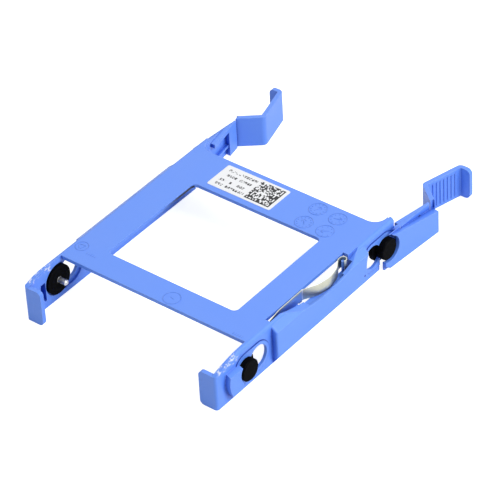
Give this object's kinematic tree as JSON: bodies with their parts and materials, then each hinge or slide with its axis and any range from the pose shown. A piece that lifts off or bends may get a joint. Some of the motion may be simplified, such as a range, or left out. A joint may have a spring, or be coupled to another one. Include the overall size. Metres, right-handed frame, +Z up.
{
  "type": "hard drive caddy",
  "caption": "Moulded plastic caddy that grips a 3.5 inch hard drive by steel pins in rubber grommets, with squeeze latch arms and a grounding spring.",
  "frame": {"origin": "midway between the four drive pins in plan, on the plane the rails stand on", "axes": "+X across the drive to the spring side, +Y toward the finger tabs, +Z up to the deck"},
  "size_m": [0.1208, 0.1857, 0.0222],
  "materials": {
    "blue_plastic": "satin, fine moulded grain",
    "rubber": "matt",
    "pin_steel": "turned, bright",
    "spring_steel": "rolled, bright",
    "label_paper": null
  },
  "bodies": {
    "root": {"bracket": "blue_plastic", "grommet_front_left": "rubber", "grommet_front_right": "rubber", "grommet_rear_left": "rubber", "grommet_rear_right": "rubber", "pin_front_left": "pin_steel", "pin_front_right": "pin_steel", "pin_rear_left": "pin_steel", "pin_rear_right": "pin_steel", "ground_spring": "spring_steel", "label": "label_paper"}
  },
  "joints": []
}
